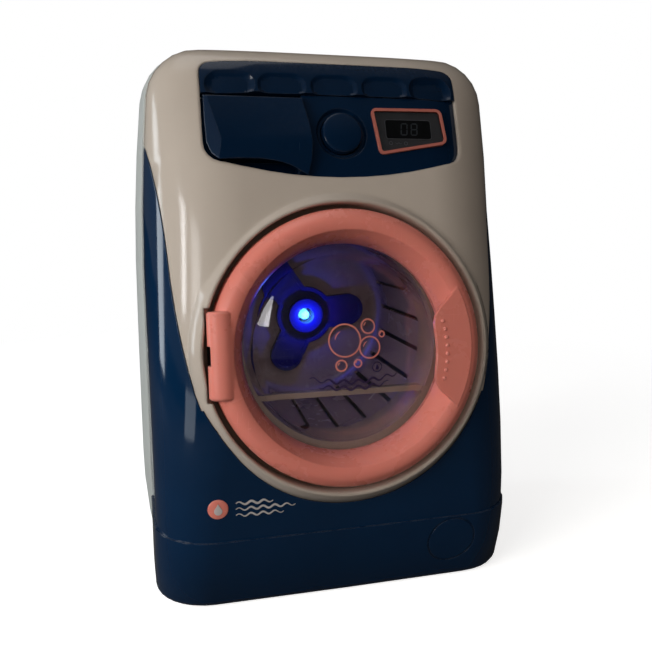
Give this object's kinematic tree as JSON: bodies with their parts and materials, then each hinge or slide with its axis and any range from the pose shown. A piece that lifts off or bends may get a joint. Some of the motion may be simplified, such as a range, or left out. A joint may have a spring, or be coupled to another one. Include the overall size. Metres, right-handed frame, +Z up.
{
  "type": "toy front-loading washing machine",
  "caption": "Toy front-loading washing machine with a hinged round window door, geared slotted drum, pull-out drawer, push button and rear switch.",
  "frame": {"origin": "middle of the base, on the surface it stands on", "axes": "+Z up, the door faces -Y, +X to the right when facing the door"},
  "size_m": [0.172, 0.125, 0.24],
  "materials": {
    "beige": "moulded, gloss",
    "navy": "moulded, gloss",
    "coral": "moulded, satin gloss",
    "pale": "moulded, satin",
    "lavender": "moulded, satin gloss",
    "black": "moulded, matt",
    "clear": "clear moulded plastic",
    "smoke": "dark tinted clear plastic",
    "steel": "plated",
    "board": "resin coated",
    "brass": "sintered",
    "gear": "moulded, natural",
    "gear_red": "moulded",
    "glow": "clear blue light",
    "cell": "sleeved"
  },
  "bodies": {
    "cabinet": {"front_fascia": "beige", "front_cover": "navy", "rear_shell": "pale", "control_panel": "navy", "panel_strip": "navy", "drawer_housing": "black", "display_bezel": "coral", "display_lens": "smoke", "lcd_module": "black", "control_board": "board", "panel_screws": "steel", "hinge_bracket": "black", "mouth_ring": "beige", "tub": "pale", "tub_screws": "steel", "drum_bush": "brass", "idler_axle": "steel", "motor": "steel", "motor_screws": "steel", "led_holder": "pale", "led": "glow", "speaker": "black", "battery_box": "pale", "battery_contacts": "steel", "batteries": "cell", "battery_door": "pale", "battery_door_screw": "steel", "power_switch": "black", "case_screws": "steel"},
    "door": {"door_ring": "coral", "door_window": "clear", "window_retainer": "coral", "retainer_screws": "steel", "hinge_pin": "steel", "door_latch": "coral"},
    "drum": {"drum": "lavender", "drum_hub": "black", "drum_shaft": "steel", "drum_gear": "gear"},
    "idler": {"idler_gear": "gear_red"},
    "pinion": {"motor_pinion": "brass"},
    "drawer": {"drawer_front": "navy", "drawer_tray": "pale"},
    "button": {"start_button": "navy"},
    "switch": {"switch_knob": "black"}
  },
  "joints": [
    {"name": "door_hinge", "type": "hinge", "parent": "cabinet", "child": "door", "pos_m": [-0.0545, -0.0501, 0.114], "axis": [0, -0.1478, -0.989], "range_deg": [0, 100]},
    {"name": "drum_spin", "type": "hinge", "parent": "cabinet", "child": "drum", "pos_m": [0, 0, 0.114], "axis": [0, 1, 0], "continuous": true},
    {"name": "idler_spin", "type": "hinge", "parent": "cabinet", "child": "idler", "pos_m": [0.03182, 0, 0.08218], "axis": [0, 1, 0], "continuous": true},
    {"name": "pinion_spin", "type": "hinge", "parent": "cabinet", "child": "pinion", "pos_m": [0.04879, 0, 0.06521], "axis": [0, 1, 0], "continuous": true},
    {"name": "drawer_slide", "type": "slide", "parent": "cabinet", "child": "drawer", "axis": [0, -1, 0], "range_m": [0, 0.034]},
    {"name": "button_press", "type": "slide", "parent": "cabinet", "child": "button", "axis": [0, 0.9397, -0.342], "range_m": [0, 0.0018], "stiffness_N_per_m": 500},
    {"name": "switch_slide", "type": "slide", "parent": "cabinet", "child": "switch", "axis": [-1, 0, 0], "range_m": [0, 0.005]}
  ],
  "couplings": [
    {"joint": "idler_spin", "follows": "drum_spin", "ratio": -4},
    {"joint": "pinion_spin", "follows": "drum_spin", "ratio": 12}
  ]
}
